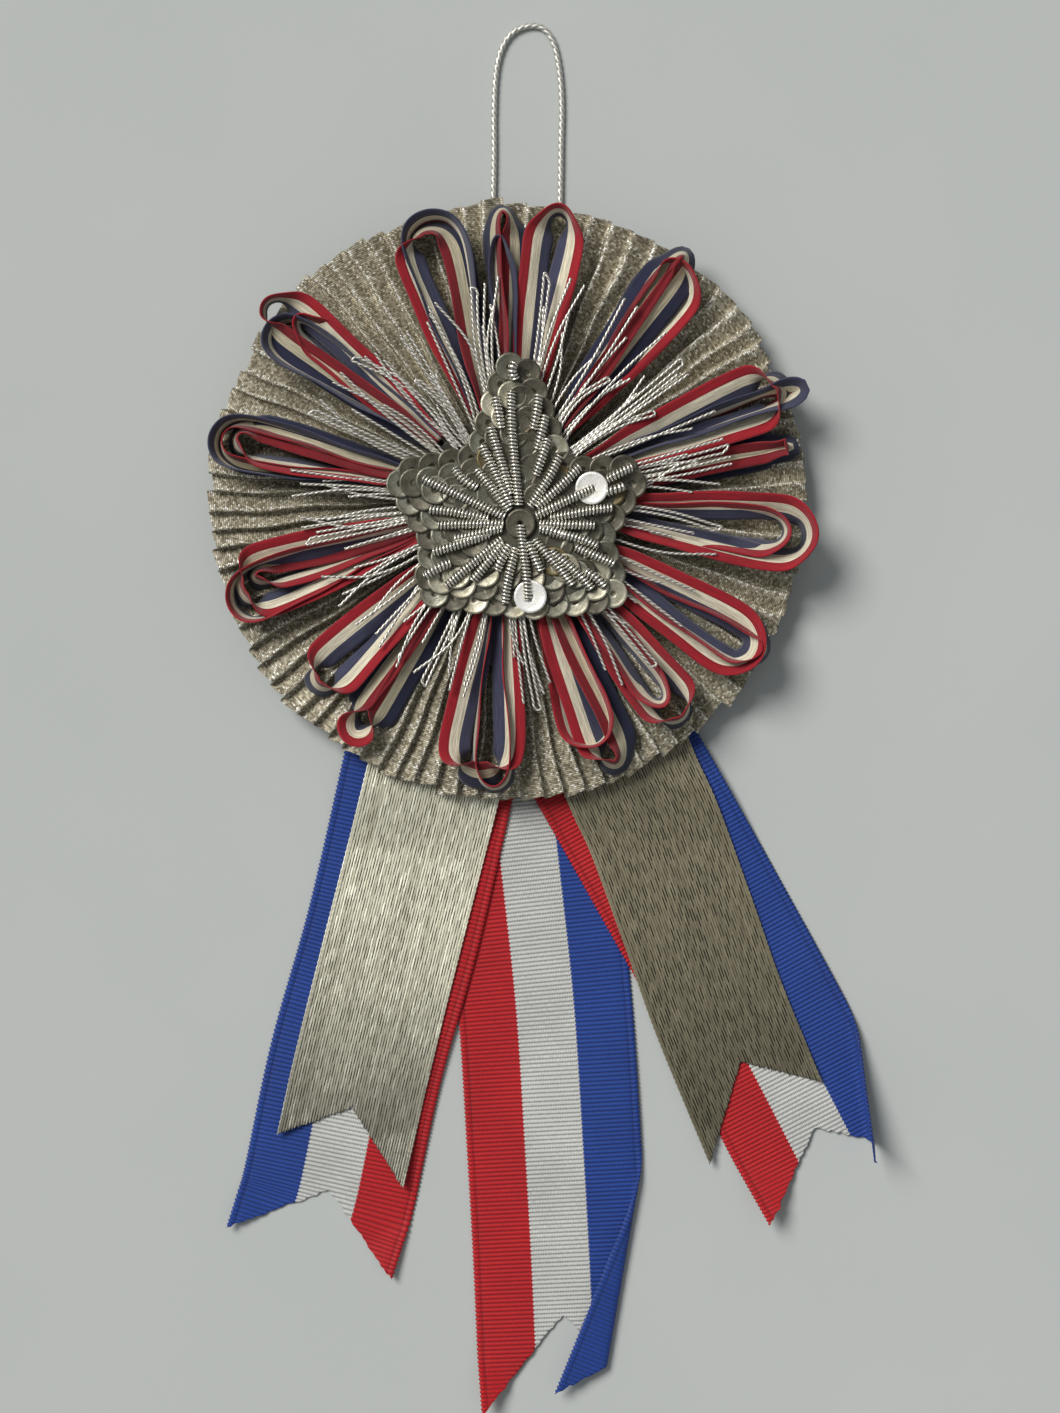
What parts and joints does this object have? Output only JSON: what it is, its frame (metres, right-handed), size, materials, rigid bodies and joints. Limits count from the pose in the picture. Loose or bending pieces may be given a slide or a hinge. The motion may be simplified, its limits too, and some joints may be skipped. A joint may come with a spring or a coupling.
{
  "type": "award rosette",
  "caption": "Tricolour award rosette: pleated silver round with striped petal loops, a sequin and bullion star, V-cut ribbon tails and a hanging cord.",
  "frame": {"origin": "middle of the rosette's back, on the surface that it lies on", "axes": "+Z out of the rosette's face, +Y towards the hanging cord, -Y down the tails"},
  "size_m": [0.1024, 0.2, 0.0132],
  "materials": {
    "felt": "matte wool felt",
    "card": "matte cream card",
    "silver_gauze": "metallic gauze",
    "petal_ribbon": "striped matte ribbon",
    "silver_thread": "twisted metal thread",
    "hanging_cord": "twisted silver cord",
    "dark_sequin": "tarnished",
    "bright_sequin": "satin",
    "bullion_wire": "coiled wire",
    "tricolour_ribbon": "ribbed grosgrain",
    "silver_ribbon": "metallic lame"
  },
  "bodies": {
    "rosette": {"back_cover": "felt", "backing_disc": "card", "bright_sequin_lower": "bright_sequin", "bright_sequin_right": "bright_sequin", "bullion_rays_left": "bullion_wire", "bullion_rays_lower_left": "bullion_wire", "bullion_rays_lower_right": "bullion_wire", "bullion_rays_right": "bullion_wire", "bullion_rays_top": "bullion_wire", "centre_sequin": "dark_sequin", "centre_tail_head": "tricolour_ribbon", "cord_end_left": "hanging_cord", "cord_end_right": "hanging_cord", "left_silver_tail_head": "silver_ribbon", "left_tail_head": "tricolour_ribbon", "petal_core_disc": "felt", "petal_loop_01": "petal_ribbon", "petal_loop_02": "petal_ribbon", "petal_loop_03": "petal_ribbon", "petal_loop_04": "petal_ribbon", "petal_loop_05": "petal_ribbon", "petal_loop_06": "petal_ribbon", "petal_loop_07": "petal_ribbon", "petal_loop_08": "petal_ribbon", "petal_loop_09": "petal_ribbon", "petal_loop_10": "petal_ribbon", "petal_loop_11": "petal_ribbon", "petal_loop_12": "petal_ribbon", "petal_loop_13": "petal_ribbon", "petal_loop_14": "petal_ribbon", "petal_loop_15": "petal_ribbon", "petal_loop_16": "petal_ribbon", "pleated_rosette": "silver_gauze", "right_silver_tail_head": "silver_ribbon", "right_tail_head": "tricolour_ribbon", "star_base": "card", "star_pad": "felt", "star_sequins_left": "dark_sequin", "star_sequins_lower_left": "dark_sequin", "star_sequins_lower_right": "dark_sequin", "star_sequins_right": "dark_sequin", "star_sequins_top": "dark_sequin", "thread_spray_01": "silver_thread", "thread_spray_02": "silver_thread", "thread_spray_03": "silver_thread", "thread_spray_04": "silver_thread", "thread_spray_05": "silver_thread", "thread_spray_06": "silver_thread", "thread_spray_07": "silver_thread", "thread_spray_08": "silver_thread", "thread_spray_09": "silver_thread", "thread_spray_10": "silver_thread", "thread_spray_11": "silver_thread", "thread_spray_12": "silver_thread"},
    "centre_tail": {"centre_tail": "tricolour_ribbon"},
    "left_tail": {"left_tail": "tricolour_ribbon"},
    "right_tail": {"right_tail": "tricolour_ribbon"},
    "left_silver_tail": {"left_silver_tail": "silver_ribbon"},
    "right_silver_tail": {"right_silver_tail": "silver_ribbon"},
    "hanging_loop": {"hanging_loop": "hanging_cord"}
  },
  "joints": [
    {"name": "centre_tail_lift", "type": "hinge", "parent": "rosette", "child": "centre_tail", "pos_m": [0.0023, -0.044, 0.00013], "axis": [-1, 0, 0], "range_deg": [0, 45]},
    {"name": "left_tail_lift", "type": "hinge", "parent": "rosette", "child": "left_tail", "pos_m": [-0.0127, -0.044, 0.00068], "axis": [-1, 0, 0], "range_deg": [0, 54]},
    {"name": "right_tail_lift", "type": "hinge", "parent": "rosette", "child": "right_tail", "pos_m": [0.0191, -0.044, 0.00122], "axis": [-1, 0, 0], "range_deg": [0, 54]},
    {"name": "left_silver_tail_lift", "type": "hinge", "parent": "rosette", "child": "left_silver_tail", "pos_m": [-0.0117, -0.044, 0.00178], "axis": [-1, 0, 0], "range_deg": [0, 63]},
    {"name": "right_silver_tail_lift", "type": "hinge", "parent": "rosette", "child": "right_silver_tail", "pos_m": [0.0197, -0.044, 0.00178], "axis": [-1, 0, 0], "range_deg": [0, 63]},
    {"name": "hanging_loop_lift", "type": "hinge", "parent": "rosette", "child": "hanging_loop", "pos_m": [0.0027, 0.0442, 0.00045], "axis": [1, 0, 0], "range_deg": [0, 85]}
  ],
  "couplings": [
    {"joint": "left_tail_lift", "follows": "centre_tail_lift", "ratio": 1.2},
    {"joint": "right_tail_lift", "follows": "centre_tail_lift", "ratio": 1.2},
    {"joint": "left_silver_tail_lift", "follows": "centre_tail_lift", "ratio": 1.4},
    {"joint": "right_silver_tail_lift", "follows": "centre_tail_lift", "ratio": 1.4}
  ]
}
